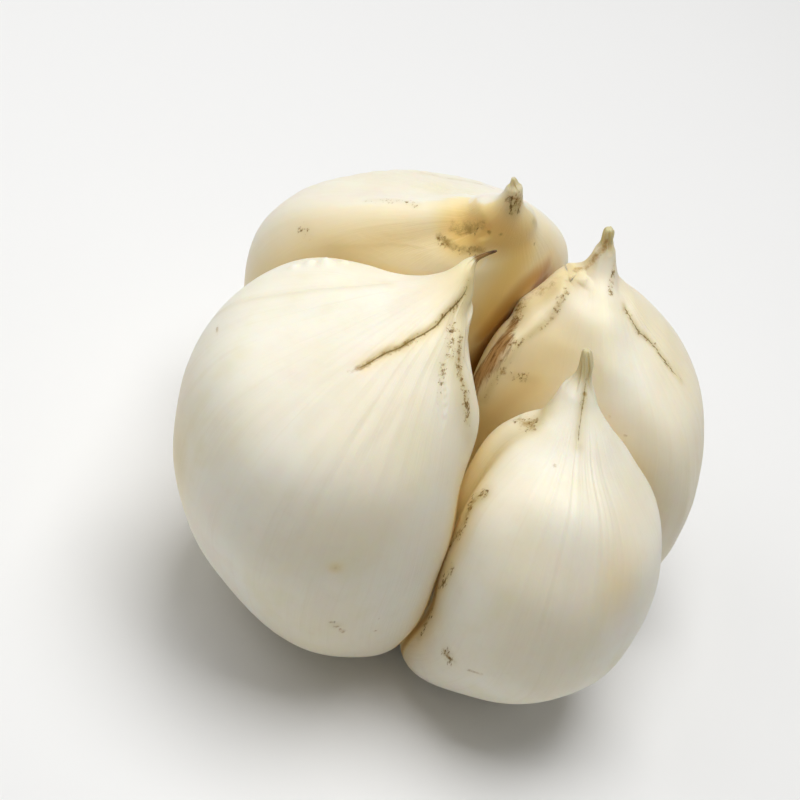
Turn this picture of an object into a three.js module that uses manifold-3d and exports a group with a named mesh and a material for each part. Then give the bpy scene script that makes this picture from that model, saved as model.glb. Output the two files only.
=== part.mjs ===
// A bulb of elephant garlic with its papery wrappers peeled off. Four large cloves stand round the
// bulb's axis, each with a full outer belly, two flatter walls where it grew against its neighbours,
// a keel towards the axis and a hooked beak at the top. They are seated at the foot in the root
// plate, a woody disc with a flat trimmed underside, on which the bulb rests.
// Millimetres, +Z up along the bulb's axis, origin at the middle of the root plate's underside.
import * as THREE from "three";
import { mergeVertices } from "three/addons/utils/BufferGeometryUtils.js";
import Module from "manifold-3d";

const COLUMNS = 40; // mesh steps round a clove
const ROWS = 32; // mesh steps from a clove's foot to its tip
const FIT_GAP = 0.3; // clearance between two pieces that touch
const SKIN_COLOUR = 0xe9dfc4;
const PLATE_COLOUR = 0x9a7a52;

// How full a clove is at each level: -1 is the foot, 0 the belly, 1 the neck and 2 the tip. Above
// the neck only the spacing of the sections comes from here.
const PROFILE = [
  [0, -1],
  [0.46, -0.97],
  [0.8, -0.79],
  [0.95, -0.44],
  [1, 0],
  [0.98, 0.3],
  [0.87, 0.6],
  [0.6, 0.82],
  [0.3, 1],
  [0.14, 1.2],
  [0.08, 1.5],
  [0.06, 1.9],
  [0, 2],
];
const NECK_FULLNESS = 0.3;
const LEVEL_SPAN = 0.67; // how much of the sections' spacing goes to height rather than width

// Each clove: where its foot, belly and neck are; how late its middle turns in towards the neck;
// how far the belly reaches outwards and sideways; how much it rises per mm along X and Y; the
// walls it grew against; how far its upper part leans over; and its beak's length, radius near the
// tip, taper, the azimuth it hooks over towards and how far it has turned by its tip. Angles are
// in degrees.
const CLOVES = {
  clove_front_left: {
    foot: [-16, -14, 1.5],
    belly: [-26, -22, 43],
    neck: [-15, -8, 81],
    rise: 3.5,
    outward: 29,
    sideways: 33,
    slant: [-0.18, 0.06],
    walls: ["front", "left"],
    lean: [0, 0, 0],
    beak: { length: 11, radius: 0.7, taper: 3, towards: 25, turn: 70 },
  },
  clove_front_right: {
    foot: [12, -14, 1.5],
    belly: [25, -24, 32],
    neck: [21, -14, 68],
    rise: 2.5,
    outward: 23,
    sideways: 24,
    slant: [-0.08, 0.05],
    walls: ["front", "right"],
    lean: [0, 4, -4],
    beak: { length: 15, radius: 1.7, taper: 2, towards: 130, turn: 15 },
  },
  clove_right: {
    foot: [16, 11, 1.5],
    belly: [25, 13, 29],
    neck: [17, 15, 79],
    rise: 2,
    outward: 27,
    sideways: 30,
    slant: [0, 0],
    walls: ["right", "back", "left"],
    lean: [0, 8, -8],
    beak: { length: 16, radius: 1.5, taper: 2, towards: 180, turn: 10 },
  },
  clove_back: {
    foot: [-13, 14, 1.5],
    belly: [-21, 29, 40],
    neck: [-10, 20, 83],
    rise: 2.5,
    outward: 27,
    sideways: 35,
    slant: [0, 0],
    walls: ["back", "left"],
    lean: [0, 0, 0],
    beak: { length: 16, radius: 1.3, taper: 2, towards: 180, turn: 25 },
  },
};
// The upright planes where neighbouring cloves meet: a point in plan and an azimuth.
const WALLS = {
  front: { through: [1, 0], azimuth: -81 },
  right: { through: [-1, 0], azimuth: -4 },
  back: { through: [-6, 1], azimuth: 61 },
  left: { through: [-1, 0], azimuth: 167 },
};
const LEAN_FROM = 0.3; // the level at which a clove starts to lean over
const LEAN_TO = 1.5; // the level at which it has leaned all the way
const EDGE_SHARPNESS = 9; // higher gives sharper ridges between a clove's faces
const WALL_EASE = 0.3; // how much a wall has rounded away from its plane by the neck
const BEAK_BLUNTNESS = 12; // higher keeps a beak's width nearer to its tip

// Half the root plate's section, from the middle of its underside round to its low central boss.
const PLATE_PROFILE = [
  [0, 0],
  [15.5, 0],
  [18, 1],
  [19, 2.6],
  [18.6, 4.6],
  [16, 7],
  [11, 9],
  [5, 11],
  [0, 12],
];
const PLATE_STEPS = 56; // mesh steps round the root plate

const radians = THREE.MathUtils.degToRad;
const profile = new THREE.CatmullRomCurve3(
  PROFILE.map(([fullness, level]) => {
    return new THREE.Vector3(fullness, LEVEL_SPAN * level, 0);
  }),
  false,
  "centripetal",
);

// How far a clove has leaned over at a level.
function leanAt(clove, level) {
  const share = THREE.MathUtils.smoothstep(level, LEAN_FROM, LEAN_TO);
  return new THREE.Vector3(...clove.lean).multiplyScalar(share);
}

// How far a clove's section reaches in the direction angle, in plan from +X, at a level with the
// given middle and fullness: the ellipse of the belly, softly cut by the walls. Where the clove
// leans away from a wall its section moves off it unchanged, and where it leans towards one it is
// cut by it still.
function reach(clove, middle, fullness, level, angle) {
  const outward = Math.atan2(clove.belly[1], clove.belly[0]);
  const along = Math.cos(angle - outward) / clove.outward;
  const across = Math.sin(angle - outward) / clove.sideways;
  const ease = 1 - WALL_EASE * THREE.MathUtils.clamp(level, 0, 1) ** 3;
  const limits = [Math.hypot(along, across) / fullness];
  for (const name of clove.walls) {
    const { through, azimuth } = WALLS[name];
    const wall = radians(azimuth);
    const normal = new THREE.Vector2(-Math.sin(wall), Math.cos(wall));
    let distance = new THREE.Vector2(...through).sub(middle).dot(normal);
    if (distance < 0) {
      normal.negate();
      distance = -distance;
    }
    distance = Math.min(distance, distance - normal.dot(leanAt(clove, level)));
    const facing = normal.x * Math.cos(angle) + normal.y * Math.sin(angle);
    limits.push(Math.max(facing, 0) / ((distance - FIT_GAP) * ease));
  }
  const sum = limits.reduce((total, k) => total + k ** EDGE_SHARPNESS, 0);
  return sum ** (-1 / EDGE_SHARPNESS);
}

// The middle of a clove's section at a level: out from the foot to the belly, in again to the
// neck, then along the hooked beak. It also gives how far the section has turned over there.
function spineAt(clove, level) {
  const foot = new THREE.Vector3(...clove.foot);
  const belly = new THREE.Vector3(...clove.belly);
  const neck = new THREE.Vector3(...clove.neck);
  if (level <= 1) {
    const end = level < 0 ? foot : neck;
    const bow = level < 0 ? 2 : clove.rise;
    const middle = belly.clone().lerp(end, Math.abs(level) ** bow);
    middle.z = THREE.MathUtils.lerp(belly.z, end.z, Math.abs(level));
    return { middle, turned: 0 };
  }
  const { length, towards, turn } = clove.beak;
  const t = Math.min(level - 1, 1);
  const turned = radians(turn) * t;
  const radius = length / radians(turn);
  const side = radius * (1 - Math.cos(turned));
  const lean = (clove.rise * length * t * (1 - t / 2)) / (neck.z - belly.z);
  const middle = neck.clone().addScaledVector(neck.clone().sub(belly).setZ(0), lean);
  middle.x += side * Math.cos(radians(towards));
  middle.y += side * Math.sin(radians(towards));
  middle.z += radius * Math.sin(turned);
  return { middle, turned };
}

// A clove, or with grow the same clove that much larger all round.
function cloveGeometry(clove, grow = 0) {
  const geometry = new THREE.SphereGeometry(1, COLUMNS, ROWS);
  const hook = radians(clove.beak.towards);
  const axle = new THREE.Vector3(-Math.sin(hook), Math.cos(hook), 0);
  const neck = spineAt(clove, 1).middle;
  const { position, uv } = geometry.attributes;
  for (let i = 0; i < position.count; i++) {
    const angle = 2 * Math.PI * uv.getX(i);
    const at = profile.getPointAt(THREE.MathUtils.clamp(uv.getY(i), 0, 1));
    const level = at.y / LEVEL_SPAN;
    const end = at.x < 1e-4;
    const { middle, turned } = spineAt(clove, level);
    let r = end ? 0 : grow;
    if (level > 1) {
      const root = reach(clove, neck, NECK_FULLNESS, 1, angle);
      const left = 1 - Math.min(level - 1, 1);
      const { radius, taper } = clove.beak;
      const cap = Math.sqrt(1 - (1 - left) ** BEAK_BLUNTNESS);
      r += (radius + (root - radius) * left ** taper) * cap;
    } else if (!end) {
      r += reach(clove, middle, at.x, level, angle);
    }
    const offset = new THREE.Vector3(Math.cos(angle), Math.sin(angle), 0);
    offset.multiplyScalar(r);
    const [riseX, riseY] = clove.slant;
    const upright = Math.min(level * level, 1);
    offset.z = (1 - upright) * (riseX * offset.x + riseY * offset.y);
    offset.z += grow * THREE.MathUtils.clamp(level, -1, 1);
    offset.applyAxisAngle(axle, turned);
    position.setXYZ(i, ...middle.add(leanAt(clove, level)).add(offset));
  }
  return geometry;
}

// A three.js geometry as a manifold-3d solid, and back.
const wasm = await Module();
wasm.setup();
function solid(geometry) {
  geometry.deleteAttribute("normal");
  geometry.deleteAttribute("uv");
  const merged = mergeVertices(geometry, 1e-3);
  return new wasm.Manifold(
    new wasm.Mesh({
      numProp: 3,
      vertProperties: merged.attributes.position.array,
      triVerts: new Uint32Array(merged.index.array),
    }),
  );
}
function geometryOf(body) {
  const mesh = body.getMesh();
  const geometry = new THREE.BufferGeometry();
  geometry.setAttribute("position", new THREE.BufferAttribute(mesh.vertProperties, 3));
  geometry.setIndex(new THREE.BufferAttribute(mesh.triVerts, 1));
  geometry.computeVertexNormals();
  return geometry;
}

// The root plate: a turned disc with a seat for each clove's foot.
function plateGeometry() {
  const outline = PLATE_PROFILE.map(([r, z]) => new THREE.Vector2(r, z));
  const disc = new THREE.LatheGeometry(outline, PLATE_STEPS);
  disc.rotateX(Math.PI / 2);
  let plate = solid(disc);
  for (const clove of Object.values(CLOVES)) {
    plate = plate.subtract(solid(cloveGeometry(clove, FIT_GAP)));
  }
  return geometryOf(plate);
}

const bulb = new THREE.Group();
function addPart(name, geometry, color, roughness) {
  const material = new THREE.MeshStandardMaterial({ color, roughness });
  const mesh = new THREE.Mesh(geometry, material);
  mesh.name = name;
  bulb.add(mesh);
}
for (const [name, clove] of Object.entries(CLOVES)) {
  addPart(name, cloveGeometry(clove), SKIN_COLOUR, 0.5);
}
addPart("root_plate", plateGeometry(), PLATE_COLOUR, 0.8);

export default bulb;
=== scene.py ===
"""Looks of the elephant garlic bulb: four big cloves with their wrappers off, seated in a woody
root plate, on a pale floor in soft studio light.

Each clove's CAD node gives the shape. Its mesh is read back as rings of points from foot to tip, made
much finer with a smooth spline, and worked over: swellings, ridges, folds, cracks, dried beaks. What
lies where on the skin is kept in mesh attributes, which one procedural skin material reads.
Lengths in the shaping code are millimetres, places on a clove are (angle, height): the angle round
its own upright axis in degrees from +X, and the height from 0 at the foot to 1 at the tip.
"""

import math

import bpy
import numpy as np
from mathutils import Matrix, Vector, noise
from mathutils.bvhtree import BVHTree


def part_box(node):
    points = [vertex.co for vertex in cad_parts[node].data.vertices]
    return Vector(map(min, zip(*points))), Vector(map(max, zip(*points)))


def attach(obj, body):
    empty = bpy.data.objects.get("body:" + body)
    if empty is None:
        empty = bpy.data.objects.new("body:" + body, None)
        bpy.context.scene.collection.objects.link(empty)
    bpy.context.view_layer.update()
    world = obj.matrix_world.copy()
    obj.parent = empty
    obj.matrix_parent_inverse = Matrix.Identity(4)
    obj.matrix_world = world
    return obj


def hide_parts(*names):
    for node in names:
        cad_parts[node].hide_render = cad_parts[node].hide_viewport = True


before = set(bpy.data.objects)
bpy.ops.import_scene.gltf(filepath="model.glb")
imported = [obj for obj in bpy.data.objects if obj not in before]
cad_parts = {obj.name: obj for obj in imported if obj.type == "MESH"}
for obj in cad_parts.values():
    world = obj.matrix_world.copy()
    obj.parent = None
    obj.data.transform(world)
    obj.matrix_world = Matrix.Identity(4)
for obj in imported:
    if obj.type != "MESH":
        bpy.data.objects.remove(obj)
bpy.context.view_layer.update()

MM = 0.001
FINE_COLUMNS = 288  # points round a clove
FINE_ROWS = 320  # steps from foot to tip
WELD = 1e-5  # metres within which the CAD mesh's points are one
MARKS = ("soil", "smear", "dry", "char", "stain", "yellow_and_shade", "crevice_shade")
LINE_STEPS = 240  # points that a line on the skin is drawn with
FACING = 0.2  # least cosine between the normals of the skin and a line for the line to act there
FAR = 50  # mm added to the distance of skin that faces away from a line, more than any stroke reaches
EXACT = 3  # mm from a line within which distance is taken square to it
BATCH = 4096  # points measured at once, to save memory
SPLIT_FAR, SPLIT_CLOSED = 3.0, -1.0  # mm to the side of a split, and half its width, where none is
SPLIT_REACH = 2.5  # mm from a split within which both are kept
NUDGE = 0.02  # step in height that finds which way is up on the skin
GIRTH, TALL = 26, 115  # radius and height in mm of the upright grid that streaks and veins follow


def placed(name, data):
    """A new object of the scene."""
    made = bpy.data.objects.new(name, data)
    bpy.context.scene.collection.objects.link(made)
    return made


# ---- a clove's surface

def cad_rings(node):
    """The CAD mesh of a clove as rings of points, foot to tip, each from angle 0 round by +Y, in mm."""
    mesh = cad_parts[node].data
    loose = np.array([v.co for v in mesh.vertices])
    _, first, place = np.unique(
        np.round(loose / WELD), axis=0, return_index=True, return_inverse=True
    )
    spots = loose[first] / MM
    faces = place.reshape(-1)[np.array([p.vertices for p in mesh.polygons])]
    beside = [set() for _ in spots]
    for a, b, c in faces:
        beside[a] |= {b, c}
        beside[b] |= {a, c}
        beside[c] |= {a, b}
    # Rank is the number of steps up from the foot, the pole with the most neighbours that lies lowest.
    rank = np.full(len(spots), -1)
    foot = min(range(len(spots)), key=lambda i: (-len(beside[i]), spots[i][2]))
    rank[foot], edge = 0, [foot]
    while edge:
        step = rank[edge[0]] + 1
        edge = sorted({j for i in edge for j in beside[i] if rank[j] < 0})
        rank[edge] = step
    # Which point comes next round its ring.
    following = {}
    for face in faces:
        for a, b, c in (face, np.roll(face, 1), np.roll(face, 2)):
            if rank[a] == rank[b] and rank[c] == rank[a] + 1:
                following[a] = b
    columns, rows = len(beside[foot]), rank.max()
    rings = [[foot] * columns]
    start = min(beside[foot])
    for row in range(1, rows):
        ring = [start]
        while len(ring) < columns:
            ring.append(following[ring[-1]])
        rings.append(ring)
        above = [j for j in beside[start] if rank[j] == row + 1]
        if row < rows - 1:
            start = above[1] if following[above[0]] == above[1] else above[0]
    rings.append([int(np.argmax(rank))] * columns)
    points = spots[np.array(rings)]
    return np.roll(points, -first_column(points[rows // 2]), axis=1)


def first_column(ring):
    """Which point of a ring lies in the direction +X from the ring's own middle."""
    half, quarter = len(ring) // 2, len(ring) // 4
    a, b = ring[0, :2], ring[half, :2]
    c, d = ring[quarter, :2], ring[quarter + half, :2]
    share = np.linalg.solve(np.array([b - a, c - d]).T, c - a)[0]
    out = ring[:, :2] - (a + share * (b - a))
    return int(np.argmax(out[:, 0] / np.linalg.norm(out, axis=1)))


def spline_weights(places, count):
    """Rows that take a closed cubic spline's coefficients to its values at places, in steps."""
    base = np.floor(places).astype(int)
    t = places - base
    weights = np.zeros((len(places), count))
    taps = ((1 - t) ** 3, 3 * t**3 - 6 * t**2 + 4, -3 * t**3 + 3 * t**2 + 3 * t + 1, t**3)
    for shift, tap in enumerate(taps):
        np.add.at(weights, (np.arange(len(places)), (base + shift - 1) % count), tap / 6)
    return weights


def refined(rings, rows, columns):
    """The smooth surface through the rings, at that many steps along and points round."""
    far_side = np.roll(rings[-2:0:-1], -(rings.shape[1] // 2), axis=1)
    net = np.concatenate([rings, far_side])
    for axis in (0, 1):
        wave = 2 * np.pi * np.arange(net.shape[axis]) / net.shape[axis]
        gain = (2 + np.cos(wave)) / 3
        gain = gain.reshape([-1 if i == axis else 1 for i in range(net.ndim)])
        net = np.fft.ifft(np.fft.fft(net, axis=axis) / gain, axis=axis).real
    along = spline_weights(np.linspace(0, len(rings) - 1, rows + 1), len(net))
    round_ = spline_weights(np.arange(columns) * rings.shape[1] / columns, rings.shape[1])
    return np.einsum("ra,cb,abk->rck", along, round_, net)


def normals_of(points):
    """Outward unit normals of a grid of rings whose first and last rings are poles."""
    rising = np.roll(points[1:], -1, axis=1) - points[:-1]
    falling = np.roll(points[:-1], -1, axis=1) - points[1:]
    face = np.cross(falling, rising)
    total = np.zeros_like(points)
    for part in (face, np.roll(face, 1, axis=1)):
        total[:-1] += part
        total[1:] += part
    for pole in (0, -1):
        total[pole] = total[pole].sum(axis=0)
    return total / np.maximum(np.linalg.norm(total, axis=-1, keepdims=True), 1e-12)


def eased(t):
    """0 up to 0, 1 from 1 on, smooth between."""
    t = np.clip(t, 0, 1)
    return t * t * (3 - 2 * t)


def faded(share, ends):
    """1 along a line, easing to 0 over a share of it at each end."""
    return eased(share / ends) * eased((1 - share) / ends)


def smooth_line(path):
    """A smooth line through the given (angle, height) places, as LINE_STEPS places."""
    path = np.array(path, float)
    path[:, 0] = np.unwrap(path[:, 0], period=360)
    ahead = np.concatenate([[2 * path[0] - path[1]], path, [2 * path[-1] - path[-2]]])
    at = np.linspace(0, len(path) - 1, LINE_STEPS)
    i = np.minimum(at.astype(int), len(path) - 2)
    t = (at - i)[:, None]
    a, b, c, d = (ahead[i + k] for k in range(4))
    return b + 0.5 * t * (c - a + t * (2 * a - 5 * b + 4 * c - d + t * (3 * (b - c) + d - a)))


class Skin:
    """A clove's surface while it is worked on: its points in mm and what is marked on it."""

    def __init__(self, node):
        self.node = node
        self.points = refined(cad_rings(node), FINE_ROWS, FINE_COLUMNS)
        self.shape = self.points.shape[:2]
        self.height = np.repeat(np.linspace(0, 1, FINE_ROWS + 1)[:, None], FINE_COLUMNS, 1)
        self.angle = np.repeat(np.arange(FINE_COLUMNS)[None] * 360 / FINE_COLUMNS, FINE_ROWS + 1, 0)
        self.marks = {name: np.zeros(self.shape) for name in MARKS}
        self.marks["split_side"] = np.full(self.shape, SPLIT_FAR)
        self.marks["split_half"] = np.full(self.shape, SPLIT_CLOSED)
        self.settle()

    def settle(self):
        """Takes the surface as it now is as the one that the next strokes are measured on."""
        self.normals = normals_of(self.points)

    def raise_by(self, amount):
        """Moves every point out along its normal by its own amount in mm."""
        for pole in (0, -1):
            amount[pole] = amount[pole].mean()
        self.points = self.points + self.normals * amount[..., None]

    def on(self, places, field=None):
        """Points of the surface, or of another field over it, at (angle, height) places."""
        field = self.points if field is None else field
        places = np.asarray(places, float)
        row = np.clip(places[:, 1], 0, 1) * FINE_ROWS
        column = places[:, 0] % 360 * FINE_COLUMNS / 360
        r = np.minimum(row.astype(int), FINE_ROWS - 1)
        c = column.astype(int) % FINE_COLUMNS
        s, t = (row - r)[:, None], (column - column.astype(int))[:, None]
        n = (c + 1) % FINE_COLUMNS
        low = field[r, c] * (1 - t) + field[r, n] * t
        high = field[r + 1, c] * (1 - t) + field[r + 1, n] * t
        return low * (1 - s) + high * s

    def beside(self, path, within):
        """Where the skin lies by a line through the (angle, height) places of path: which points are
        within that many mm, how far to the left of the line each is, its distance, and how far along."""
        places = smooth_line(path)
        line, out = self.on(places), self.on(places, self.normals)
        ahead = np.gradient(line, axis=0)
        ahead /= np.maximum(np.linalg.norm(ahead, axis=1, keepdims=True), 1e-9)
        left = np.cross(out, ahead)
        low, high = line.min(axis=0) - within, line.max(axis=0) + within
        close = np.all((self.points > low) & (self.points < high), axis=2)
        points, normals = self.points[close], self.normals[close]
        nearest, gap = np.zeros(len(points), int), np.zeros(len(points))
        for first in range(0, len(points), BATCH):
            part = slice(first, first + BATCH)
            span = np.linalg.norm(points[part, None] - line[None], axis=2)
            span += FAR * ((normals[part] @ out.T) < FACING)
            nearest[part] = span.argmin(axis=1)
            gap[part] = span.min(axis=1)
        side = ((points - line[nearest]) * left[nearest]).sum(axis=1)
        inside = (gap < min(within, EXACT)) & (nearest > 0) & (nearest < len(line) - 1)
        gap[inside] = np.abs(side[inside])
        gap /= np.clip(((normals * out[nearest]).sum(axis=1) - FACING) / 0.4, 0.05, 1)
        keep = gap < within
        close[close] = keep
        return close, side[keep], gap[keep], nearest[keep] / (len(line) - 1)

    def ridge(self, path, width, rise, ends=0.15):
        """A rounded ridge along a line, or a groove where rise is negative; it fades at its ends."""
        close, _, gap, share = self.beside(path, 3 * width)
        amount = np.zeros(self.shape)
        amount[close] = rise * np.exp(-((gap / width) ** 2)) * faded(share, ends)
        self.raise_by(amount)

    def fold(self, path, width, lip, drop, ends=0.15):
        """A line where the skin on its left rolls up beside it and the skin on its right sinks."""
        close, side, gap, share = self.beside(path, 4 * width)
        amount = np.zeros(self.shape)
        t = gap / width
        step = np.where(side > 0, lip * 1.7 * t * np.exp(-(t**2)), -drop * np.exp(-(t**2)))
        amount[close] = step * faded(share, ends)
        self.raise_by(amount)

    def split(self, path, width, depth, ends=0.12):
        """A crack along a line, open at most that wide."""
        close, side, gap, share = self.beside(path, SPLIT_REACH)
        half = width / 2 * faded(share, ends) - 0.15 * (1 - faded(share, ends))
        nearer = gap < np.abs(self.marks["split_side"][close])
        spots = np.argwhere(close)[nearer]
        self.marks["split_side"][spots[:, 0], spots[:, 1]] = side[nearer]
        self.marks["split_half"][spots[:, 0], spots[:, 1]] = half[nearer]
        amount = np.zeros(self.shape)
        amount[close] = -depth * faded(share, ends) * np.exp(-((gap / 0.6) ** 2))
        self.raise_by(amount)

    def swell(self, place, size, rise):
        """A soft swelling about a place, or a hollow where rise is negative. Size is its radius in mm,
        or two radii, along the clove and round it."""
        self.raise_by(rise * self.spread(place, size))

    def spread(self, place, size):
        """A soft patch about a place: 1 at its middle, falling off over size mm."""
        middle, out = self.on([place])[0], self.on([place], self.normals)[0]
        angle, height = place
        up = self.on([(angle, height + NUDGE)])[0] - self.on([(angle, height - NUDGE)])[0]
        up /= np.linalg.norm(up)
        away = self.points - middle
        along = (away @ up)[..., None] * up
        tall, wide = size if isinstance(size, tuple) else (size, size)
        square = (along**2).sum(axis=2) / tall**2 + ((away - along) ** 2).sum(axis=2) / wide**2
        return np.exp(-square) * eased(0.5 + 1.5 * (self.normals @ out))

    def mark_spots(self, *spots):
        """Marks soft patches: each a mark's name, the place and size of a patch, and an amount. Where
        marks of one name overlap, the stronger stays."""
        for name, place, size, amount in spots:
            self.marks[name] = np.maximum(self.marks[name], amount * self.spread(place, size))

    def mark_lines(self, *lines):
        """Marks soft bands along lines in the same way: a name, a path, a width in mm, an amount."""
        for name, path, width, amount in lines:
            close, _, gap, _ = self.beside(path, 3 * width)
            value = amount * np.exp(-((gap / width) ** 2))
            self.marks[name][close] = np.maximum(self.marks[name][close], value)

    def bend(self, start, end, shift):
        """Moves the clove above a height, more and more up to another, by shift mm."""
        share = eased((self.height - start) / (end - start))[..., None]
        self.points = self.points + np.array(shift) * share


def undulate(skin, seed, size, rise):
    """Gentle unevenness of the whole skin: lumps of about that size in mm."""
    flat = skin.points.reshape(-1, 3) / size + np.array([seed * 7.3, seed * 3.1, seed * 5.7])
    value = np.array([noise.noise(p) for p in flat.tolist()]).reshape(skin.shape)
    skin.raise_by(rise * value)


def veins(skin, seed, width, rise, centre, spread, low, high):
    """Fine lengthwise veins about that many mm apart, strongest round one side of the clove."""
    around = np.radians(skin.angle)
    girth = GIRTH / width
    round_ = np.stack([girth * np.cos(around), girth * np.sin(around), 1.6 * skin.height + seed], -1)
    value = np.array([noise.noise(p) for p in round_.reshape(-1, 3).tolist()]).reshape(skin.shape)
    off = np.abs((skin.angle - centre + 180) % 360 - 180)
    where = np.exp(-((off / spread) ** 2))
    where = where * eased((skin.height - low) / 0.15) * eased((high - skin.height) / 0.12)
    skin.raise_by(rise * where * np.sign(value) * np.abs(value) ** 0.8)


def finger(skin, start, radius, tip, seed):
    """Draws the beak above a height into a finger, from one mean radius to another at its blunt tip,
    with the lengthwise wrinkles of drying."""
    share = np.clip((skin.height - start) / (1 - start), 0, 1)
    middle = skin.points.mean(axis=1, keepdims=True)
    out = skin.points - middle
    now = np.linalg.norm(out, axis=2).mean(axis=1, keepdims=True)
    aim = (radius + (tip - radius) * share) * np.sqrt(1 - share**10)
    aim = now + (aim - now) * eased(share / 0.45)
    turn = np.radians(skin.angle) + 0.8 * share
    wrinkle = 0.10 * np.sin(5 * turn + seed)
    wrinkle += 0.07 * np.sin(9 * turn + 2 * seed)
    wrinkle += 0.04 * np.sin(14 * turn)
    scale = aim / np.maximum(now, 1e-6) * (1 + wrinkle * eased(share / 0.3))
    skin.points = middle + out * scale[..., None]


# ---- the four cloves

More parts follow.
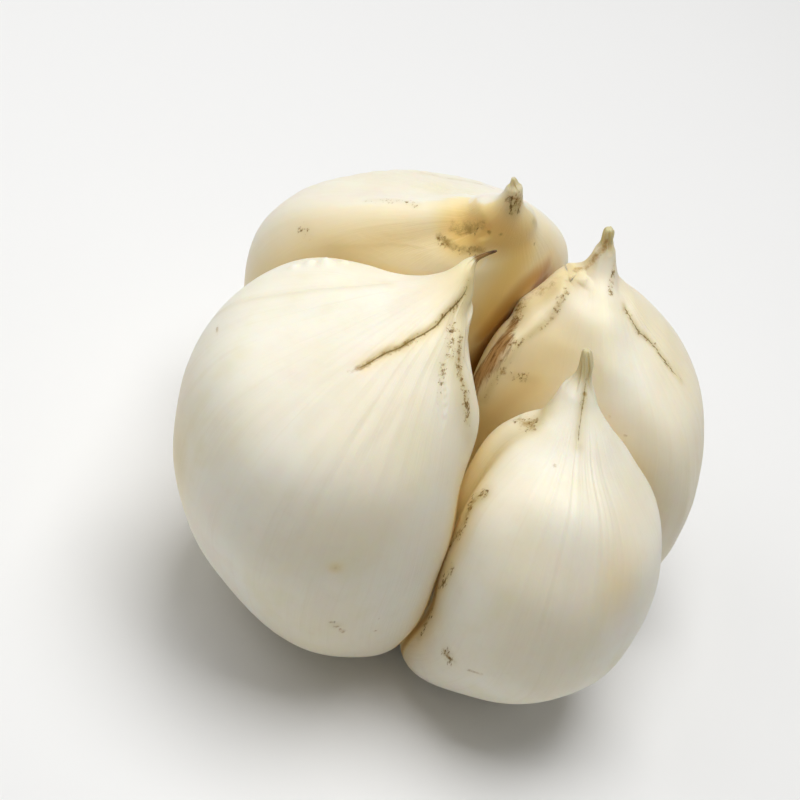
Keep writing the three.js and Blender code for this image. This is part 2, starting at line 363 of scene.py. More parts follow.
def shape_front_left(skin):
    """The largest clove: a split under a rolled lip, low folds, a beak that ends in a dry thread."""
    # The whole form: fuller along the inner edge, a dip before the beak, flakes on the top edge.
    skin.swell((345, 0.62), (14, 6), 1.6)
    skin.swell((335, 0.38), (21, 9), 2.9)
    skin.swell((0, 0.71), (9, 6), -1.0)
    skin.swell((351, 0.60), (8, 5), 1.0)
    skin.swell((340, 0.48), (9, 6), 1.3)
    skin.swell((355, 0.86), (6, 5), 0.5)
    skin.swell((140, 0.64), (9, 12), 1.5)
    skin.swell((125, 0.775), (6, 12), -1.3)
    skin.swell((143, 0.657), 1.4, 1.2)
    skin.swell((144, 0.634), 1.1, 0.8)
    skin.swell((148, 0.616), 0.9, 0.6)
    skin.swell((138, 0.675), 0.9, 0.5)
    skin.swell((255, 0.33), 16, -1.4)
    skin.settle()
    undulate(skin, 1, 16, 0.55)
    skin.settle()
    # Low folds that run from the beak over the top-left of the belly.
    top_fold = [(160, 0.83), (166, 0.76), (169, 0.70), (170, 0.64), (169, 0.58), (166, 0.52)]
    skin.fold(top_fold, 2.8, 0.6, 0.4, 0.3)
    skin.ridge([(190, 0.84), (194, 0.76), (197, 0.68), (199, 0.60), (200, 0.50)], 2.6, 0.32, 0.35)
    skin.ridge([(206, 0.84), (210, 0.76), (213, 0.68), (215, 0.60)], 2.2, -0.22, 0.35)
    skin.ridge([(222, 0.86), (227, 0.78), (230, 0.70), (232, 0.60)], 2.8, 0.25, 0.35)
    skin.ridge([(240, 0.86), (242, 0.78), (243, 0.70), (243, 0.62), (243, 0.56)], 2.6, 0.35, 0.3)
    skin.settle()
    # The split under a rolled lip, from the belly up to the beak, and its faint crease below.
    split = [(249, 0.682), (253, 0.700), (258, 0.725), (264, 0.738), (268, 0.752), (275, 0.769),
             (282, 0.790), (286, 0.814), (295, 0.837), (300, 0.860), (298, 0.881)]
    skin.fold(split, 1.9, 0.42, 0.10, 0.2)
    skin.settle()
    skin.split(split, 0.15, 0.12)
    skin.ridge([(249, 0.70), (245, 0.675), (243, 0.645), (243, 0.61), (243, 0.57)], 1.0, -0.15, 0.3)
    # The strip down the inner edge, between two low folds.
    strip_edge = [(303, 0.87), (307, 0.80), (311, 0.755), (313, 0.72), (318, 0.68), (322, 0.63)]
    skin.fold(strip_edge, 2.0, 0.15, 0.35)
    skin.ridge([(345, 0.84), (345, 0.78), (346, 0.72), (350, 0.66), (352, 0.62)], 1.1, -0.45, 0.2)
    for wrinkle in (
        [(287, 0.60), (287, 0.632), (291, 0.67), (293, 0.69)],
        [(274, 0.60), (275, 0.62), (277, 0.656), (277, 0.68)],
        [(281, 0.56), (282, 0.60), (284, 0.64)],
        [(262, 0.60), (262, 0.64), (264, 0.68)],
    ):
        skin.ridge(wrinkle, 0.9, -0.09, 0.4)
    veins(skin, 2.0, 2.2, 0.15, 280, 60, 0.3, 0.85)
    veins(skin, 12.0, 4.5, 0.20, 225, 60, 0.35, 0.86)
    skin.settle()
    # The beak runs out in a dry thread.
    skin.bend(0.84, 0.93, (-2.4, 0.9, 0.9))
    finger(skin, 0.885, 0.55, 0.26, 1.0)
    skin.settle()
    skin.marks["dry"] = eased((skin.height - 0.905) / 0.03)
    skin.marks["char"] = 0.35 * eased((skin.height - 0.91) / 0.03)
    skin.marks["char"] += 0.65 * eased((skin.height - 0.95) / 0.04)
    skin.mark_lines(
        ("soil", split[1:6], 0.9, 0.6),
        ("smear", split[0:5], 0.7, 0.7),
        ("soil", split[6:], 0.8, 0.9),
        ("stain", split[2:], 0.9, 0.6),
        ("yellow_and_shade", split[1:], 1.6, 0.7),
        # Painted shade: gold and darker down the crevice where this clove meets the small front clove.
        ("yellow_and_shade", [(342, 0.56), (337, 0.45), (334, 0.38), (328, 0.32)], 4.0, 0.6),
        ("crevice_shade", [(342, 0.54), (337, 0.45), (334, 0.38), (328, 0.32), (322, 0.27)], 1.8, 0.85),
        ("soil", [(306, 0.80), (309, 0.775), (312, 0.745), (311, 0.72)], 0.9, 0.75),
        ("soil", [(311, 0.72), (312, 0.70), (313, 0.68)], 0.7, 0.5),
        ("soil", [(322, 0.765), (327, 0.72), (333, 0.68), (337, 0.63)], 1.1, 0.9),
        ("smear", [(325, 0.74), (330, 0.70), (335, 0.66)], 0.6, 0.6),
        ("stain", [(312, 0.88), (319, 0.78), (330, 0.69), (340, 0.60)], 2.6, 0.8),
        ("stain", [(310, 0.92), (330, 0.88), (340, 0.84)], 1.6, 0.8),
        ("smear", [(313, 0.400), (313, 0.406), (313, 0.412)], 0.4, 0.6),
        # Painted shadow: a faint olive shade along the crease of the top fold.
        ("stain", [(166, 0.76), (170, 0.70), (171, 0.64), (170, 0.58), (167, 0.52)], 1.2, 0.25),
    )
    skin.mark_spots(
        ("soil", (313, 0.738), 1.2, 1.0),
        ("smear", (313, 0.738), (0.6, 1.2), 0.8),
        ("smear", (290, 0.482), 0.45, 0.7),
        ("stain", (290, 0.482), 1.0, 0.6),
        ("yellow_and_shade", (290, 0.482), 1.5, 0.6),
        ("smear", (295, 0.391), 0.7, 1.0),
        ("smear", (297, 0.384), 0.6, 1.0),
        ("smear", (300, 0.376), 0.8, 1.0),
        ("dry", (299, 0.380), 0.55, 1.0),
        ("dry", (296, 0.392), 0.4, 0.9),
        ("soil", (297, 0.387), 1.6, 0.8),
        ("smear", (313, 0.376), 0.5, 0.8),
        ("smear", (180, 0.545), (0.5, 2.6), 0.6),
        ("stain", (205, 0.42), 8, 0.5),
        ("yellow_and_shade", (270, 0.90), (11, 9), 0.7),
        # A warm patch low on the left: partly the skin's own yellowing, partly a painted warm reflection.
        ("yellow_and_shade", (204, 0.40), (13, 9), 0.5),
    )


def shape_front_right(skin):
    """The smallest clove, with a side lobe and a blunt beak that is split down the front."""
    skin.swell((165, 0.62), (15, 9), 2.3)
    skin.swell((220, 0.28), (12, 14), 2.6)
    skin.swell((330, 0.45), (16, 12), -0.8)
    skin.swell((268, 0.66), (8, 15), 2.9)
    skin.swell((232, 0.22), (6, 7), 0.9)
    skin.swell((40, 0.73), (6, 6), 0.5)
    skin.swell((277, 0.50), (9, 15), -0.8)
    skin.swell((176, 0.46), (13, 9), 2.2)
    skin.swell((206, 0.47), (14, 9), 1.5)
    skin.swell((192, 0.30), (8, 8), -0.8)
    skin.swell((171, 0.89), (5, 4), 0.7)
    skin.swell((26, 0.855), (6, 5), -1.0)
    skin.settle()
    undulate(skin, 2, 14, 0.45)
    skin.settle()
    # The valley between the front of the clove and the lobe on its inner side.
    valley = [(178, 0.80), (183, 0.75), (186, 0.70), (187, 0.64), (189, 0.58), (191, 0.52),
              (192, 0.45), (194, 0.38)]
    skin.ridge(valley, 2.6, -1.0, 0.25)
    skin.ridge([(a + 12, h) for a, h in valley], 3.0, 0.5, 0.25)
    skin.settle()
    veins(skin, 5.0, 1.9, 0.28, 285, 45, 0.40, 0.86)
    veins(skin, 9.0, 3.4, 0.14, 290, 60, 0.35, 0.84)
    skin.settle()
    split = [(283, 0.93), (282, 0.894), (279, 0.869), (278, 0.844), (277, 0.819), (279, 0.785)]
    skin.split(split, 0.05, 0.2)
    skin.bend(0.85, 0.93, (0.1, 0.1, 0.1))
    skin.bend(0.94, 1.0, (-0.8, 0.1, 0.2))
    finger(skin, 0.875, 1.9, 0.95, 2.0)
    skin.settle()
    skin.marks["stain"] = eased((skin.height - 0.875) / 0.07)
    seam = [(217, 0.49), (216, 0.46), (210, 0.425), (213, 0.39), (216, 0.365), (224, 0.33)]
    skin.mark_lines(
        ("soil", split[:3], 0.8, 0.7),
        ("smear", split, 0.35, 0.4),
        ("stain", split, 1.2, 0.6),
        ("smear", [(166, 0.69), (173, 0.71), (182, 0.73), (195, 0.74)], 1.0, 0.8),
        ("soil", [(164, 0.69), (174, 0.71), (184, 0.74), (196, 0.745)], 2.0, 0.8),
        ("soil", [(214, 0.60), (207, 0.573), (210, 0.55), (211, 0.53), (208, 0.50)], 1.3, 0.8),
        ("soil", seam, 1.3, 0.8),
        ("smear", [(209, 0.58), (208, 0.565), (211, 0.545)], 0.8, 0.6),
        ("smear", [(208, 0.52), (208, 0.50), (209, 0.48)], 0.6, 0.6),
        ("stain", valley, 3.0, 0.8),
        ("stain", [(213, 0.60), (209, 0.56), (208, 0.52)], 1.6, 0.7),
        # Painted shade: gold and darker down the crevice between the lobe and the largest clove.
        ("yellow_and_shade", [(204, 0.54), (210, 0.45), (214, 0.38), (224, 0.31), (238, 0.25)], 4.5, 0.6),
        ("crevice_shade", [(203, 0.53), (208, 0.45), (212, 0.38), (221, 0.31), (236, 0.24)], 2.2, 0.85),
        ("smear", [(236, 0.382), (240, 0.386), (244, 0.388)], 0.9, 0.7),
        ("smear", [(250, 0.39), (254, 0.40), (258, 0.405)], 0.5, 0.5),
    )
    skin.mark_spots(
        ("smear", (283, 0.925), 0.5, 0.9),
        ("smear", (282, 0.894), 0.6, 1.0),
        ("smear", (251, 0.732), 0.5, 0.8),
        ("smear", (185, 0.494), 0.6, 0.8),
        ("char", (215, 0.98), (0.8, 0.6), 0.35),
        ("soil", (240, 0.388), 2.4, 1.0),
        ("yellow_and_shade", (315, 0.57), (7, 5), 0.5),
    )


def shape_right(skin):
    """The upright clove, with a dried keel towards its neighbours and a long crack."""
    skin.bend(0.42, 0.95, (0, 4, -4))
    skin.settle()
    skin.swell((198, 0.58), (20, 7), 3.2)
    skin.swell((245, 0.585), (14, 13), -1.6)
    keel = [(192, 0.62), (189, 0.67), (183, 0.713), (175, 0.775), (172, 0.83), (171, 0.88)]
    skin.ridge(keel, 5, 1.8, 0.2)
    skin.swell((266, 0.82), (7, 9), 1.3)
    skin.settle()
    undulate(skin, 3, 15, 0.5)
    skin.settle()
    # The keel's narrow face, the dished front face beyond its edge, and the ridge of the belly.
    edge = [(216, 0.90), (214, 0.84), (213, 0.79), (213, 0.73), (213, 0.66), (209, 0.60), (206, 0.54),
            (204, 0.46)]
    skin.ridge(edge, 2.4, 0.8, 0.2)
    skin.ridge([(a - 9, h) for a, h in edge], 2.2, -0.55, 0.2)
    belly_ridge = [(300, 0.94), (296, 0.86), (293, 0.80), (291, 0.73), (291, 0.64), (293, 0.54)]
    skin.ridge(belly_ridge, 3.4, 1.0, 0.3)
    skin.settle()
    split = [(330, 0.805), (332, 0.787), (335, 0.756), (338, 0.737), (344, 0.720), (347, 0.701),
             (348, 0.680), (350, 0.656), (352, 0.631)]
    skin.fold(split, 1.8, 0.25, 0.3)
    skin.ridge([(0, 0.88), (351, 0.855), (340, 0.844), (333, 0.82)], 1.4, -0.35, 0.3)
    skin.settle()
    skin.split(split, 0.06, 0.2)
    veins(skin, 7.0, 1.8, 0.20, 335, 35, 0.35, 0.85)
    skin.settle()
    skin.swell((180, 0.90), (3, 3), -0.6)
    skin.bend(0.83, 0.97, (1.2, 0.9, 1.0))
    finger(skin, 0.925, 1.25, 1.0, 3.0)
    skin.settle()
    skin.marks["stain"] = eased((skin.height - 0.91) / 0.05)
    strip = [(203, 0.50), (203, 0.537), (206, 0.575), (206, 0.616), (202, 0.643), (198, 0.669)]
    keel_line = [(219, 0.77), (222, 0.725), (220, 0.694), (214, 0.646), (212, 0.601), (210, 0.568),
                 (208, 0.53)]
    skin.mark_lines(
        ("dry", strip[:4], 2.6, 1.0),
        ("dry", strip[3:5], 1.8, 0.8),
        ("smear", [(202, 0.64), (197, 0.669), (195, 0.706), (196, 0.75)], 1.8, 0.55),
        ("stain", [(200, 0.48), (202, 0.60), (200, 0.70), (202, 0.80), (204, 0.90)], 3.5, 0.8),
        ("soil", keel_line, 1.2, 0.5),
        ("smear", keel_line[:4], 0.8, 0.4),
        ("stain", keel_line, 1.0, 0.7),
        ("soil", strip, 2.0, 0.9),
        ("soil", split, 0.8, 0.5),
        ("stain", split, 0.8, 0.6),
        ("smear", [(262, 0.95), (250, 0.935), (238, 0.913), (225, 0.89), (218, 0.86)], 1.0, 0.75),
        ("soil", [(335, 0.91), (322, 0.888), (310, 0.869), (303, 0.844)], 1.0, 0.8),
        ("yellow_and_shade", [(200, 0.86), (200, 0.74), (200, 0.62), (199, 0.50)], 3.5, 0.6),
        # Painted shade: gold over the front face where the two front cloves shade it, darker low down.
        ("yellow_and_shade", [(236, 0.66), (228, 0.60), (218, 0.54), (212, 0.49)], 9, 0.85),
        ("crevice_shade", [(228, 0.58), (218, 0.54), (212, 0.50), (210, 0.44)], 7, 0.68),
        ("yellow_and_shade", [(10, 0.80), (5, 0.72), (0, 0.62), (355, 0.50)], 10, 0.25),
    )
    skin.mark_spots(
        ("smear", (212, 0.576), 0.75, 1.0),
        ("soil", (220, 0.58), (1.4, 3.5), 0.85),
        ("smear", (292, 0.581), 0.45, 0.8),
        ("smear", (303, 0.562), 0.45, 0.8),
        ("smear", (262, 0.965), (0.7, 0.5), 1.0),
    )


def shape_back(skin):
    """The clove behind, whose inner face is dished, with golden shade painted down it."""
    skin.swell((185, 0.52), (16, 16), 3.6)
    skin.swell((110, 0.63), (14, 14), -1.2)
    skin.swell((50, 0.60), (14, 12), -1.3)
    skin.swell((82, 0.59), (9, 12), -0.6)
    skin.swell((45, 0.895), (4, 5), -1.2)
    skin.swell((25, 0.53), (8, 8), 1.0)
    skin.swell((340, 0.61), (8, 9), 1.6)
    skin.swell((180, 0.86), (5, 5), 0.8)
    skin.swell((204, 0.862), (3, 3), 0.5)
    skin.swell((352, 0.80), (4, 4), 0.4)
    # The brow over the inner face, and the dish below it.
    brow = [(140, 0.84), (172, 0.825), (190, 0.785), (199, 0.745), (199, 0.70), (197, 0.64),
            (194, 0.56), (190, 0.48)]
    skin.ridge(brow, 4.6, 1.8, 0.3)
    dish = [(215, 0.87), (221, 0.83), (226, 0.78), (227, 0.72), (224, 0.65), (222, 0.56)]
    skin.ridge(dish, 6.0, -2.3, 0.35)
    skin.settle()
    undulate(skin, 4, 17, 0.6)
    skin.settle()
    veins(skin, 3.0, 2.4, 0.16, 130, 60, 0.4, 0.88)
    skin.settle()
    skin.bend(0.94, 1.0, (0.1, -0.1, -0.4))
    finger(skin, 0.955, 1.0, 0.35, 4.0)
    skin.settle()
    skin.marks["stain"] = 0.8 * eased((skin.height - 0.93) / 0.06)
    seam = [(321, 0.48), (328, 0.51), (333, 0.535), (338, 0.558), (347, 0.568), (0, 0.570)]
    skin.mark_lines(
        ("smear", [(222, 0.775), (231, 0.803), (241, 0.832)], 1.5, 0.75),
        ("soil", [(224, 0.78), (232, 0.805), (239, 0.828)], 1.8, 0.55),
        ("smear", [(232, 0.738), (248, 0.733), (260, 0.732), (282, 0.741)], 1.2, 0.8),
        ("soil", [(234, 0.738), (248, 0.733), (260, 0.732), (279, 0.740)], 1.6, 0.7),
        ("smear", [(122, 0.612), (108, 0.636), (90, 0.642), (76, 0.664)], 1.3, 0.42),
        ("stain", [(122, 0.612), (108, 0.636), (90, 0.642)], 2.5, 0.25),
        ("soil", [(194, 0.663), (193, 0.703), (196, 0.73)], 1.5, 0.6),
        ("stain", [(16, 0.77), (8, 0.82)], 0.8, 0.7),
        # Painted shade: gold and brown where this clove is shut in behind the others, gold down its right
        # flank.
        ("crevice_shade", seam, 4.5, 1.0),
        ("crevice_shade", [(318, 0.53), (327, 0.57), (335, 0.60), (345, 0.61), (0, 0.60)], 7.5, 0.88),
        ("yellow_and_shade", [(305, 0.82), (330, 0.76), (350, 0.70), (5, 0.64)], 10, 0.8),
    )
    skin.mark_spots(
        ("smear", (265, 0.819), 0.7, 0.8),
        ("smear", (287, 0.819), 0.7, 0.8),
        ("soil", (300, 0.91), (3.6, 2.4), 0.9),
        ("smear", (308, 0.915), (2.8, 1.3), 0.8),
        ("smear", (286, 0.888), 0.6, 0.9),
        ("yellow_and_shade", (290, 0.90), 5, 0.9),
        ("stain", (300, 0.91), 3, 0.6),
        ("smear", (358, 0.719), 0.5, 0.9),
        ("soil", (204, 0.575), 2.5, 0.55),
        ("stain", (217, 0.584), 3, 0.3),
        # Painted shade: gold on the right flank and on the front face below the beak.
        ("yellow_and_shade", (5, 0.64), (16, 12), 0.7),
        ("yellow_and_shade", (300, 0.80), 9, 0.5),
    )
    # Painted shade: gold down the dished front face below the brow, amber where strongest.
    front = [(236, 0.782), (247, 0.797), (265, 0.825), (290, 0.815), (315, 0.785),
             (333, 0.725), (327, 0.685), (321, 0.65), (315, 0.61), (315, 0.56)]
    shade = [(208, 0.46), (214, 0.56), (222, 0.66), (232, 0.72), (248, 0.77), (270, 0.81), (295, 0.84),
             (320, 0.79), (340, 0.73), (350, 0.66)]
    skin.mark_lines(("yellow_and_shade", front, 8.5, 1.55), ("yellow_and_shade", shade, 8, 0.88))


SHAPERS = {
    "clove_front_left": shape_front_left,
    "clove_front_right": shape_front_right,
    "clove_right": shape_right,
    "clove_back": shape_back,
}


# How strongly a clove takes the painted crevice shade, where that is less than fully.
CREVICE_SHADE_SHARE = {"clove_front_left": 0.7, "clove_front_right": 0.7, "clove_right": 0.6}


def mark_crevice_shade(skins, rays=40, reach=0.035, step=8, lift=0.4):
    """Marks how shut in each clove's skin is, for painted crevice shade, from 0 in the open to 1: the
    share of rays that meet a clove within reach (m), near ones counting most, from every step-th point,
    lifted by lift mm."""
    points, faces = [], []
    for skin in skins.values():
        grid = skin.points[::step, ::step] * MM
        rows, columns = grid.shape[:2]
        index = len(points) + np.arange(rows * columns).reshape(rows, columns)
        right = np.roll(index, -1, axis=1)
        points += grid.reshape(-1, 3).tolist()
        faces += np.stack([index[:-1], right[:-1], right[1:], index[1:]], -1).reshape(-1, 4).tolist()
    tree = BVHTree.FromPolygons(points, faces)
    golden = np.pi * (3 - math.sqrt(5))
    sample = (np.arange(rays) + 0.5) / rays
    disc = np.sqrt(sample)
    turns = golden * np.arange(rays)
    local = np.stack([disc * np.cos(turns), disc * np.sin(turns), np.sqrt(1 - sample)], 1)
    for skin in skins.values():
        start = (skin.points + skin.normals * lift)[::step, ::step] * MM
        out = skin.normals[::step, ::step]
        value = np.zeros(start.shape[:2])
        for r, c in np.ndindex(value.shape):
            turned = Vector(out[r, c]).to_track_quat("Z", "Y")
            hits = 0.0
            for ray in local:
                found = tree.ray_cast(Vector(start[r, c]), turned @ Vector(ray), reach)
                if found[0] is not None:
                    hits += 1 - 0.6 * found[3] / reach
            value[r, c] = hits / rays
        for pole in (0, -1):
            value[pole] = value[pole].mean()
        fine = refined(value[..., None], FINE_ROWS, FINE_COLUMNS)[..., 0]
        found = np.clip(fine, 0, 1) * CREVICE_SHADE_SHARE.get(skin.node, 1)
        skin.marks["crevice_shade"] = np.maximum(skin.marks["crevice_shade"], found)


def clove_object(skin):
    """The mesh object of a finished skin, with its marks as attributes."""
    rows, columns = skin.shape
    middle = skin.points[1:-1].reshape(-1, 3)
    points = np.concatenate([skin.points[:1, 0], middle, skin.points[-1:, 0]]) * MM
    index = 1 + np.arange((rows - 2) * columns).reshape(rows - 2, columns)
    right = np.roll(index, -1, axis=1)
    quads = np.stack([index[:-1], right[:-1], right[1:], index[1:]], -1).reshape(-1, 4)
    foot = [(0, b, a) for a, b in zip(index[0], right[0])]
    tip = [(len(points) - 1, a, b) for a, b in zip(index[-1], right[-1])]
    mesh = bpy.data.meshes.new(skin.node + "_skin")
    mesh.from_pydata(points.tolist(), [], quads.tolist() + foot + tip)
    mesh.shade_smooth()
    around = np.radians(skin.angle)
    fibre = np.stack([GIRTH * np.cos(around), GIRTH * np.sin(around), TALL * skin.height], -1)
    for name, values in {**skin.marks, "fibre": fibre}.items():
        flat = np.concatenate([values[:1, 0], values[1:-1].reshape(-1, *values.shape[2:]), values[-1:, 0]])
        kind, key = ("FLOAT_VECTOR", "vector") if values.ndim == 3 else ("FLOAT", "value")
        mesh.attributes.new(name, kind, "POINT").data.foreach_set(key, flat.astype(np.float32).ravel())
    return placed(skin.node + "_skin", mesh)


# ---- the root plate

PLATE_COLUMNS, PLATE_RINGS = 240, 40  # points round the plate, and rings over each of its two sides
STUBS = 130  # places round its rim that are tried for a cut root
UNDER, ABOVE = -0.01, 0.05  # heights below and above the plate, in metres
OFF_SEAM = 1e-5  # metres off the plate's middle, where its faces meet
RIM_STEP = 0.15 * MM  # how closely the rim is found
GRAIN = 1.6  # mm between the lumps of the bark
STUB_DEPTH = 1.6 * MM  # how far inside the rim a root starts
THIN_RIM, SHORT_STUB, STUB_GAP = 1.2 * MM, 1.9 * MM, 0.6 * MM  # least rim, root, and room to a clove


def mesh_tree(objects):
    """A search tree over the meshes of objects that sit at the origin."""
    points, faces = [], []
    for item in objects:
        start = len(points)
        points += [v.co.copy() for v in item.data.vertices]
        faces += [[start + i for i in p.vertices] for p in item.data.polygons]
    return BVHTree.FromPolygons(points, faces)


def grown_plate(cloves):
    """The root plate: a woody disc as wide and deep as its CAD node, with a rough bark-like surface
    and the stubs of its cut roots round the rim."""
    cad = mesh_tree([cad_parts["root_plate"]])

    def level(x, y, below):
        """Height of the CAD plate's underside or top at x, y, or None beyond its rim."""
        start, way = (UNDER, 1) if below else (ABOVE, -1)
        hit = cad.ray_cast(Vector((x, y, start)), Vector((0, 0, way)))[0]
        return None if hit is None else hit.z

    rims = plate_rims(level)
    points, faces = plate_sides(level, rims)
    add_stubs(points, faces, level, rims, mesh_tree(cloves))
    mesh = bpy.data.meshes.new("root_plate_bark")
    mesh.from_pydata(points, [], faces)
    mesh.shade_smooth()
    return placed("root_plate_bark", mesh)


def plate_rims(level):
    """How far the CAD plate reaches from its middle, for each column round it."""
    low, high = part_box("root_plate")
    rims = []
    for column in range(PLATE_COLUMNS):
        turn = 2 * math.pi * column / PLATE_COLUMNS
        cos, sin = math.cos(turn), math.sin(turn)
        rim = 0.5 * (high[0] - low[0])
        while level(rim * cos, rim * sin, True) is None:
            rim -= RIM_STEP
        rims.append(rim)
    return rims


def plate_sides(level, rims):
    """Points and faces of the plate: rings from the middle of its underside to the rim, and back over
    the top, with a ragged rim and a grain."""
    points = [(0, 0, level(OFF_SEAM, OFF_SEAM, True))]
    for ring in range(1, 2 * PLATE_RINGS + 1):
        below = ring <= PLATE_RINGS
        share = ring / PLATE_RINGS if below else (2 * PLATE_RINGS + 1 - ring) / PLATE_RINGS
        share = share**0.8
        for column in range(PLATE_COLUMNS):
            turn = 2 * math.pi * column / PLATE_COLUMNS
            ragged = 1 - 0.03 * abs(noise.noise((9 * math.cos(turn), 9 * math.sin(turn), 2.0)))
            reach = rims[column] * ragged * share
            x, y = reach * math.cos(turn), reach * math.sin(turn)
            z = level(x, y, below)
            if z is None:
                z = points[-1][2]
            grain = abs(noise.noise((x / MM / GRAIN, y / MM / GRAIN, 4.0 if below else 8.0)))
            z += grain * 0.35 * MM if below else -grain * 0.5 * MM
            points.append((x, y, z))
    points.append((0, 0, level(OFF_SEAM, OFF_SEAM, False)))
    index = 1 + np.arange(2 * PLATE_RINGS * PLATE_COLUMNS).reshape(-1, PLATE_COLUMNS)
    right = np.roll(index, -1, axis=1)
    faces = np.stack([index[:-1], index[1:], right[1:], right[:-1]], -1).reshape(-1, 4).tolist()
    faces += [(0, a, b) for a, b in zip(index[0], right[0])]
    faces += [(len(points) - 1, b, a) for a, b in zip(index[-1], right[-1])]
    return points, faces


def add_stubs(points, faces, level, rims, flesh):
    """Adds the cut roots where the plate's rim is thick enough and the cloves leave them room."""
    random = np.random.default_rng(11)
    for _ in range(STUBS):
        turn = random.uniform(0, 2 * math.pi)
        rim = rims[int(turn / (2 * math.pi) * PLATE_COLUMNS) % PLATE_COLUMNS]
        root = np.array([math.cos(turn), math.sin(turn)]) * (rim - STUB_DEPTH)
        low, high = level(*root, True), level(*root, False)
        if low is None or high - low < THIN_RIM:
            continue
        start = Vector((*root, low + random.uniform(0.35, 0.75) * (high - low)))
        veer = turn + random.uniform(-0.5, 0.5)
        ahead = Vector((math.cos(veer), math.sin(veer), random.uniform(-0.7, 0.1))).normalized()
        length = random.uniform(3.0, 5.5) * MM
        hit = flesh.ray_cast(start, ahead, length + STUB_GAP)
        if hit[0] is not None:
            length = hit[3] - STUB_GAP
        if length > SHORT_STUB:
            stub(points, faces, start, ahead, length, random.uniform(0.35, 0.6) * MM, random)


def stub(points, faces, start, ahead, length, radius, random, sides=8, steps=7):
    """Adds a cut root: a wrinkled tapering stub that sags a little and never goes below the floor."""
    across = ahead.orthogonal().normalized()
    other = ahead.cross(across)
    first = len(points)

    def add(spot):
        points.append((spot.x, spot.y, max(spot.z, 0.05 * MM)))

    add(start)
    for step in range(steps):
        share = step / (steps - 1)
        middle = start + ahead * length * share - Vector((0, 0, 0.18 * length * share**2))
        middle += across * 0.12 * MM * math.sin(9 * share + first)
        for side in range(sides):
            turn = 2 * math.pi * side / sides
            girth = radius * (1 - 0.25 * share) * random.uniform(0.85, 1.1)
            add(middle + (across * math.cos(turn) + other * math.sin(turn)) * girth)
    add(middle)
    for step in range(steps - 1):
        for side in range(sides):
            a = first + 1 + step * sides + side
            b = first + 1 + step * sides + (side + 1) % sides
            faces.append((a, b, b + sides, a + sides))
    for side in range(sides):
        a, b = first + 1 + side, first + 1 + (side + 1) % sides
        faces.append((first, b, a))
        faces.append((len(points) - 1, a + (steps - 1) * sides, b + (steps - 1) * sides))


# ---- materials

class Shader:
    """A material's node tree, built from values and other nodes' outputs."""

    def __init__(self, name):
        self.material = bpy.data.materials.new(name)
        self.material.use_nodes = True
        self.tree = self.material.node_tree
        self.tree.nodes.clear()

    def node(self, kind, inputs=(), **settings):
        made = self.tree.nodes.new(kind)
        for key, value in settings.items():
            setattr(made, key, value)
        for key, value in dict(inputs).items():
            if isinstance(value, bpy.types.NodeSocket):
                self.tree.links.new(value, made.inputs[key])
            else:
                made.inputs[key].default_value = value
        return made

    def mark(self, name):
        return self.node("ShaderNodeAttribute", attribute_name=name).outputs["Fac"]

    def vector(self, name):
        return self.node("ShaderNodeAttribute", attribute_name=name).outputs["Vector"]

    def place(self):
        return self.node("ShaderNodeTexCoord").outputs["Object"]

    def math(self, operation, a, b=0.0):
        return self.node("ShaderNodeMath", {0: a, 1: b}, operation=operation).outputs[0]

    def plus(self, a, b):
        return self.math("ADD", a, b)

    def times(self, a, b):
        return self.math("MULTIPLY", a, b)

    def scaled(self, vector, scale):
        return self.node("ShaderNodeVectorMath", {0: vector, 1: scale}, operation="MULTIPLY").outputs[0]

    def noise(self, vector, scale, detail=3.0, roughness=0.5):
        inputs = {"Vector": vector, "Scale": scale, "Detail": detail, "Roughness": roughness}
        return self.node("ShaderNodeTexNoise", inputs).outputs["Fac"]

    def ease(self, value, low, high):
        """0 below low, 1 above high, smooth between."""
        inputs = {"Value": value, "From Min": low, "From Max": high}
        made = self.node("ShaderNodeMapRange", inputs, interpolation_type="SMOOTHSTEP")
        return made.outputs["Result"]

    def mix(self, share, a, b, blend="MIX"):
        made = self.node("ShaderNodeMix", {0: share}, data_type="RGBA", blend_type=blend)
        for key, value in ((6, a), (7, b)):
            if isinstance(value, bpy.types.NodeSocket):
                self.tree.links.new(value, made.inputs[key])
            else:
                made.inputs[key].default_value = (*value, 1)
        return made.outputs[2]

    def tint(self, tone, colour, share, most):
        """Takes a tone towards a colour by a share, and at most that much of the way."""
        return self.mix(self.times(share, most), tone, colour)

    def surface(self, inputs):
        shader = self.node("ShaderNodeBsdfPrincipled", inputs)
        out = self.node("ShaderNodeOutputMaterial")
        self.tree.links.new(shader.outputs[0], out.inputs["Surface"])


# Colours are linear, red green blue.
IVORY = (0.88, 0.81, 0.635)
PALE = (0.915, 0.88, 0.755)
ROSY = (0.90, 0.80, 0.68)
STRAW = (0.84, 0.79, 0.54)
STREAK = (0.78, 0.69, 0.50)
VEIN = (0.93, 0.90, 0.80)
FLECK = (0.72, 0.64, 0.45)
# Gold, amber and brown are painted shade in crevices and on dished faces; gold also tints yellowed skin.
GOLD = (0.92, 0.74, 0.38)
SHADE_AMBER = (0.93, 0.63, 0.19)
SHADE_BROWN = (0.56, 0.26, 0.025)
OLIVE = (0.56, 0.46, 0.17)
SOIL = (0.17, 0.095, 0.012)
SMEAR = (0.37, 0.215, 0.045)
DRY = (0.46, 0.27, 0.10)
DRY_DARK = (0.21, 0.105, 0.028)
CHAR = (0.045, 0.03, 0.028)
SPLIT_INSIDE = (0.25, 0.17, 0.03)
BARK = (0.42, 0.29, 0.16)
BARK_PALE = (0.60, 0.47, 0.30)
BARK_DARK = (0.24, 0.15, 0.075)
FLOOR, FLOOR_PALE = (0.87, 0.87, 0.865), (0.90, 0.90, 0.895)
DAYLIGHT = (1.0, 0.99, 0.97)


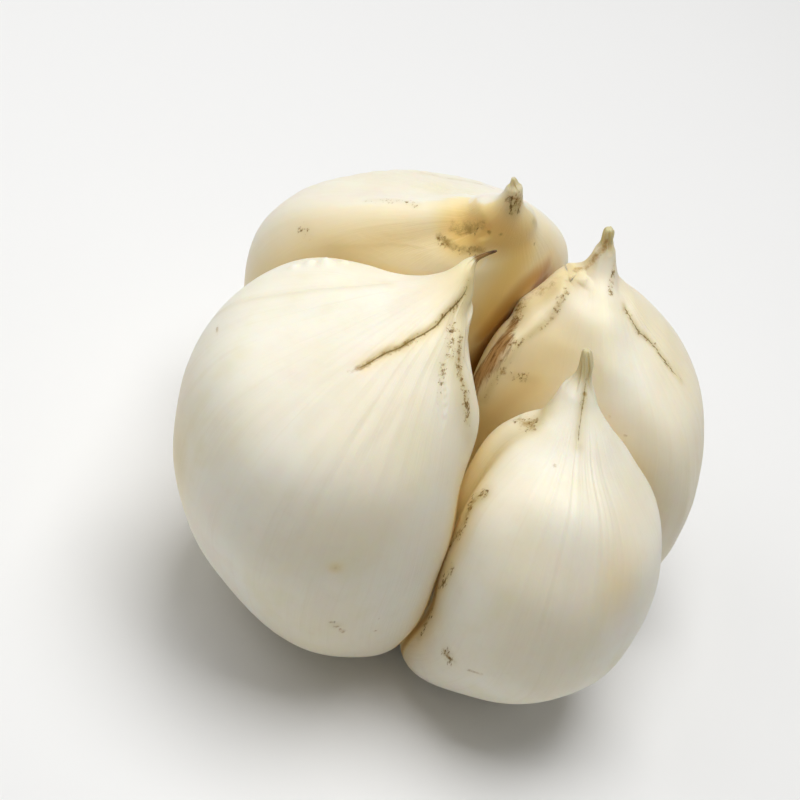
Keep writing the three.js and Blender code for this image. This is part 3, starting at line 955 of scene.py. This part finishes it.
def skin_material():
    """The skin of all four cloves. Noise scales count bumps in a metre, or in a mm of the fibre grid,
    which runs round each clove in its first two coordinates and up it in the third."""
    s = Shader("clove_skin_living")
    fibre, place = s.vector("fibre"), s.place()
    streaks = s.noise(s.scaled(fibre, (1, 1, 0.045)), 0.9, 4, 0.6)
    fine = s.noise(s.scaled(fibre, (1, 1, 0.05)), 3.2, 3, 0.6)
    cloud = s.noise(place, 38, 3, 0.5)
    mottle = s.noise(place, 240, 4, 0.6)
    grain = s.noise(place, 1500, 3, 0.7)
    blush = s.noise(s.scaled(place, (1, 1, 0.6)), 75, 3, 0.55)
    tone = s.mix(s.ease(cloud, 0.35, 0.7), IVORY, PALE)
    tone = s.tint(tone, ROSY, s.ease(blush, 0.52, 0.72), 0.45)
    tone = s.tint(tone, STRAW, s.ease(blush, 0.48, 0.28), 0.45)
    tone = s.tint(tone, STREAK, s.ease(streaks, 0.5, 0.8), 0.22)
    tone = s.tint(tone, VEIN, s.ease(fine, 0.5, 0.8), 0.14)
    tone = s.tint(tone, FLECK, s.ease(mottle, 0.5, 0.8), 0.12)
    # Painted shade: gold where the skin is shut in or on the dished faces, amber where that mark is
    # strong, brown deep in the crevices; the same gold also tints the skin's own yellow patches.
    shut, yellow_and_shade = s.mark("crevice_shade"), s.mark("yellow_and_shade")
    tone = s.tint(tone, GOLD, s.math("MAXIMUM", s.ease(shut, 0.15, 0.70), yellow_and_shade), 0.9)
    tone = s.tint(tone, SHADE_AMBER, s.ease(yellow_and_shade, 0.9, 1.7), 0.9)
    tone = s.tint(tone, SHADE_BROWN, s.ease(shut, 0.60, 0.98), 0.95)
    tone = s.tint(tone, OLIVE, s.times(s.mark("stain"), s.ease(cloud, 0.15, 0.65)), 0.78)
    # A film of brown dirt, in smudges.
    film = s.plus(s.noise(place, 420, 6, 0.75), s.times(s.mark("smear"), 0.36))
    smear = s.times(s.ease(film, 0.58, 0.95), s.ease(s.mark("smear"), 0.03, 0.5))
    tone = s.tint(tone, SMEAR, smear, 0.85)
    # Soil gathers in crumbs and short streaks where it is marked, in an olive halo.
    tone = s.tint(tone, OLIVE, s.ease(s.mark("soil"), 0.1, 0.9), 0.22)
    crumb = s.noise(s.scaled(place, (1.4, 1.4, 0.6)), 950, 5, 0.72)
    crumb = s.plus(crumb, s.times(s.mark("soil"), 0.20))
    crumb = s.plus(crumb, s.times(s.math("SUBTRACT", mottle, 0.5), 0.45))
    soil = s.times(s.ease(crumb, 0.64, 0.84), s.ease(s.mark("soil"), 0.05, 0.35))
    tone = s.tint(tone, SMEAR, s.ease(soil, 0.0, 0.5), 0.6)
    tone = s.tint(tone, SOIL, s.ease(soil, 0.35, 1.0), 0.8)
    # Dried skin: tan and brown in streaks, charred where it has shrivelled to a thread.
    dry_streak = s.noise(s.scaled(fibre, (1, 1, 0.14)), 1.5, 5, 0.7)
    edge = s.plus(s.mark("dry"), s.times(s.math("SUBTRACT", dry_streak, 0.5), 1.1))
    dry = s.ease(edge, 0.30, 0.85)
    tone = s.mix(dry, tone, s.mix(s.ease(dry_streak, 0.42, 0.62), DRY, DRY_DARK))
    tone = s.mix(s.ease(s.mark("char"), 0.05, 0.95), tone, CHAR)
    # The dark inside of a split, broken here and there.
    ragged = s.math("SUBTRACT", s.math("ABSOLUTE", s.mark("split_side")), s.mark("split_half"))
    ragged = s.plus(ragged, s.times(s.math("SUBTRACT", grain, 0.5), 0.4))
    split = s.math("SUBTRACT", 1.0, s.ease(ragged, -0.02, 0.12))
    tone = s.tint(tone, SPLIT_INSIDE, split, 0.85)
    relief = s.plus(s.times(fine, 0.35), s.times(streaks, 0.7))
    relief = s.plus(relief, s.times(s.times(dry_streak, dry), 3.0))
    relief = s.plus(relief, s.times(soil, 0.8))
    bump = s.node("ShaderNodeBump", {"Height": relief, "Distance": 0.00012, "Strength": 0.8})
    worn = s.math("MAXIMUM", dry, s.math("MAXIMUM", soil, smear))
    rough = s.plus(s.plus(0.34, s.times(mottle, 0.16)), s.times(worn, 0.35))
    s.surface({
        "Base Color": tone, "Roughness": rough, "Normal": bump.outputs["Normal"],
        "Subsurface Weight": 0.5, "Subsurface Radius": (1.0, 0.7, 0.35), "Subsurface Scale": 0.005,
        "Specular IOR Level": 0.4, "IOR": 1.42,
    })
    return s.material


def bark_material():
    """Corky tissue with dark grains and cracks that hold soil."""
    s = Shader("root_plate_corky")
    place = s.place()
    cloud = s.noise(place, 260, 4, 0.6)
    grain = s.noise(s.scaled(place, (1, 1, 0.35)), 1400, 5, 0.7)
    crack = s.noise(place, 700, 6, 0.8)
    tone = s.mix(s.ease(cloud, 0.3, 0.7), BARK, BARK_PALE)
    tone = s.tint(tone, BARK_DARK, s.ease(grain, 0.45, 0.75), 0.6)
    tone = s.tint(tone, SOIL, s.ease(crack, 0.58, 0.72), 0.8)
    relief = s.plus(grain, s.times(crack, 1.2))
    bump = s.node("ShaderNodeBump", {"Height": relief, "Distance": 0.0004, "Strength": 0.9})
    s.surface({"Base Color": tone, "Roughness": 0.85, "Normal": bump.outputs["Normal"]})
    return s.material


def floor_material():
    """Plain pale floor."""
    s = Shader("floor")
    tone = s.mix(s.noise(s.place(), 6, 3), FLOOR, FLOOR_PALE)
    s.surface({"Base Color": tone, "Roughness": 0.75})
    return s.material


# ---- building the scene

skins = {node: Skin(node) for node in SHAPERS}
for node, skin in skins.items():
    SHAPERS[node](skin)
mark_crevice_shade(skins)
living = skin_material()
cloves = []
for node, skin in skins.items():
    piece = clove_object(skin)
    cloves.append(piece)
    piece.data.materials.append(living)
    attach(piece, "root")
    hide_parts(node)
plate = grown_plate(cloves)
plate.data.materials.append(bark_material())
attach(plate, "root")
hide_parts("root_plate")

# ---- floor, light and camera

FLOOR_REACH = 3  # metres from the bulb to the floor's sides
BULB_MIDDLE = Vector((0, 0, 0.05))
WORLD_STRENGTH = 0.16

mesh = bpy.data.meshes.new("floor")
corners = [(x * FLOOR_REACH, y * FLOOR_REACH, 0) for x, y in ((-1, -1), (1, -1), (1, 1), (-1, 1))]
mesh.from_pydata(corners, [], [(0, 1, 2, 3)])
floor = placed("floor", mesh)
floor.data.materials.append(floor_material())

world = bpy.data.worlds.new("studio")
world.use_nodes = True
world.node_tree.nodes["Background"].inputs["Color"].default_value = (*DAYLIGHT, 1)
world.node_tree.nodes["Background"].inputs["Strength"].default_value = WORLD_STRENGTH
bpy.context.scene.world = world


def softbox(name, place, size, power):
    """A square white area light that faces the middle of the bulb."""
    light = bpy.data.lights.new(name, "AREA")
    light.shape, light.size = "SQUARE", size
    light.energy = power
    lamp = placed(name, light)
    lamp.location = place
    lamp.rotation_mode = "QUATERNION"
    lamp.rotation_quaternion = (Vector(place) - BULB_MIDDLE).to_track_quat("Z", "Y")


# The key light hangs almost overhead, and a weak one fills in from the left: metres and watts.
softbox("key", (0, 0.10, 0.80), 0.5, 5.4)
softbox("side", (-0.51, 0, 0.60), 0.5, 1.0)

bpy.context.scene.view_settings.view_transform = "Standard"

# The camera looks down at the bulb and is turned about its own axis, as in the photo.
AIM = Vector((-0.0143, 0.0015, 0.0435))
ELEVATION, ROLL = math.radians(45), math.radians(20)
DISTANCE, LENS, SENSOR = 0.45, 96.4, 36  # metres, then mm

camera = placed("camera", bpy.data.cameras.new("camera"))
camera.data.lens = LENS
camera.data.sensor_width = SENSOR
turn = Matrix.Rotation(math.pi / 2 - ELEVATION, 4, "X") @ Matrix.Rotation(ROLL, 4, "Z")
back = turn.to_3x3() @ Vector((0, 0, 1))
camera.matrix_world = Matrix.Translation(AIM + back * DISTANCE) @ turn
bpy.context.scene.camera = camera
